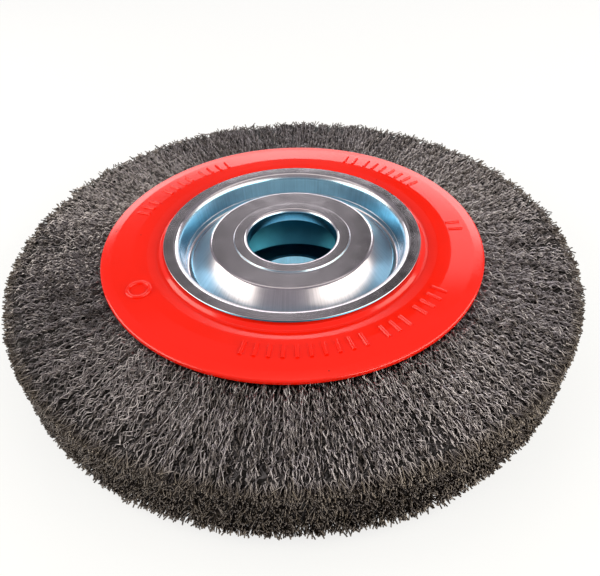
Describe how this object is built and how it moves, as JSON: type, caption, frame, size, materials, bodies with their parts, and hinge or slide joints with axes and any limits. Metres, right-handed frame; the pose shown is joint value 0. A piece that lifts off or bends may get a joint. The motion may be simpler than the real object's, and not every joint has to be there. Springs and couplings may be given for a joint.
{
  "type": "wire wheel brush",
  "caption": "Crimped steel wire wheel brush with pressed side plates and recessed hub cups round a plain bore, for cleaning and deburring on a bench grinder.",
  "frame": {"origin": "on the wheel's axis, at the middle of its thickness", "axes": "+Z along the wheel's axis, out of the front hub cup; the wheel lies flat on its back hub flange"},
  "size_m": [0.2, 0.2, 0.03],
  "materials": {
    "zinc_plated_steel": "pressed steel with bright zinc plating and a pale blue passivation",
    "red_enamelled_steel": "glossy red enamel on pressed steel sheet",
    "crimped_steel_wire": "dark drawn steel wire, crimped, with cut ends at the rim",
    "plain_steel": "plain drawn steel"
  },
  "bodies": {
    "root": {"hub_cup_front": "zinc_plated_steel", "hub_cup_back": "zinc_plated_steel", "side_plate_front": "red_enamelled_steel", "side_plate_back": "red_enamelled_steel", "core_ring": "plain_steel", "spacer_ring": "plain_steel", "wire_fill": "crimped_steel_wire"}
  },
  "joints": []
}
